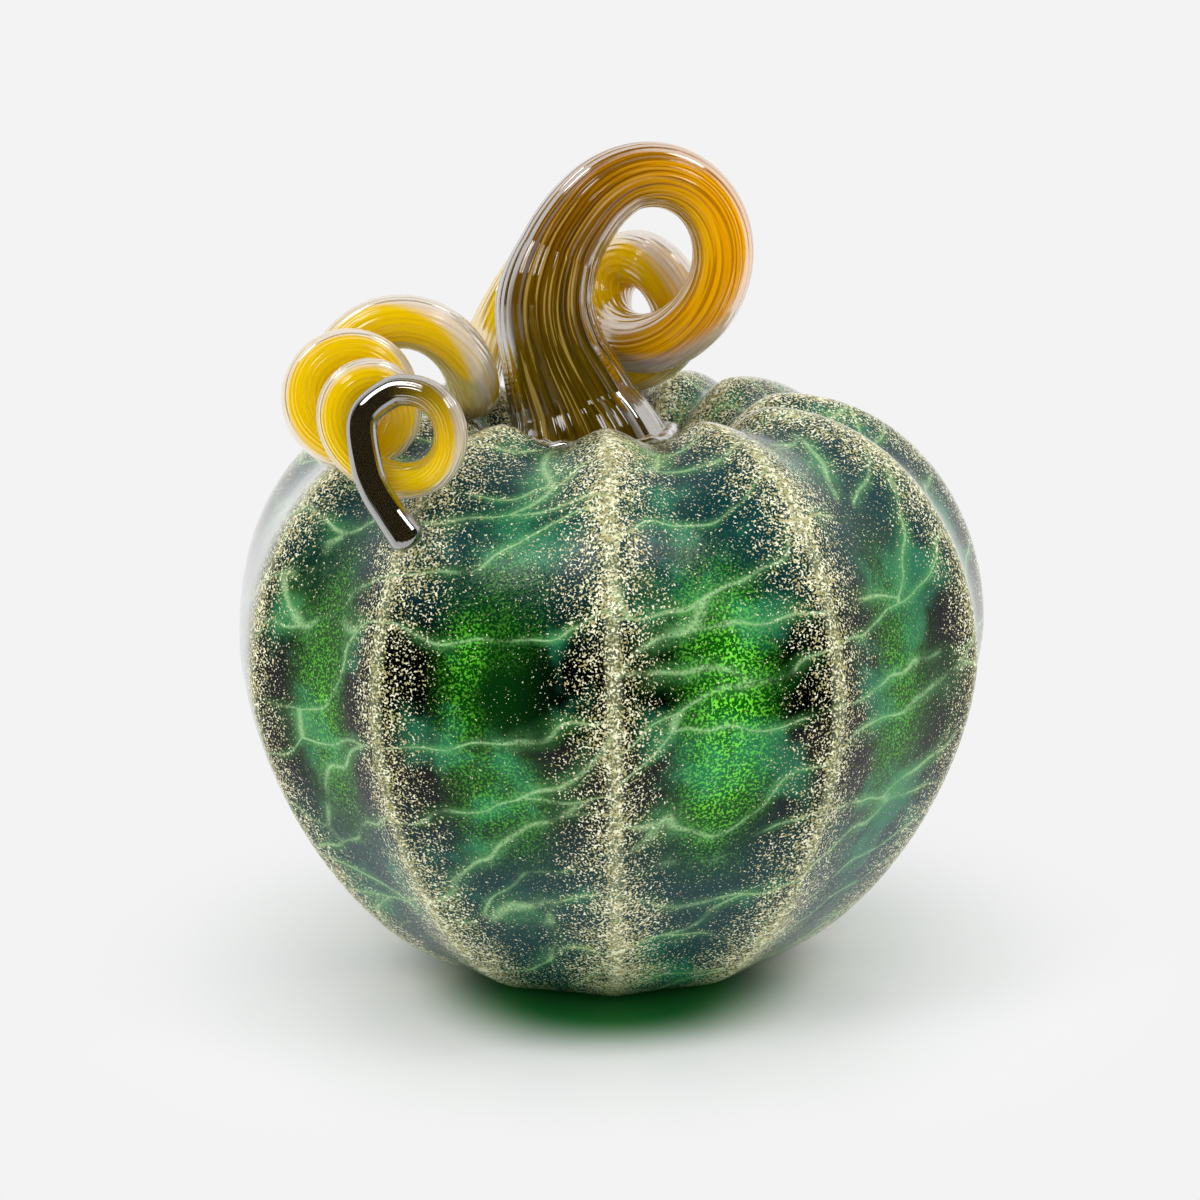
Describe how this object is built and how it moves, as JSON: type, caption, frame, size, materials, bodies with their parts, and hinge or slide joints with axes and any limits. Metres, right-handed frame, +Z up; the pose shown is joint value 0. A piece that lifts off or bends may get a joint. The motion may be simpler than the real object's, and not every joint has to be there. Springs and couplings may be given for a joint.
{
  "type": "blown glass pumpkin ornament",
  "caption": "Hollow ribbed blown glass pumpkin with a dimpled crown and a thick curling stem that ends in a thin coiled tendril.",
  "frame": {"origin": "centre of the flat foot ring, on the surface the pumpkin stands on", "axes": "+Z up through the blow hole, -Y towards the rib that faces the viewer, the tendril hanging over the shoulder at -X and -Y"},
  "size_m": [0.1282, 0.1289, 0.1386],
  "materials": {
    "dark_glass": "glossy, very dark green",
    "flecked_green_glass": "satin to glossy, gold flecks on the ribs, pale veins in the panels",
    "amber_glass": "glossy with a pearly lustre"
  },
  "bodies": {
    "root": {"inner_bubble": "dark_glass", "ribbed_casing": "flecked_green_glass", "stem": "amber_glass", "tendril": "amber_glass"}
  },
  "joints": []
}
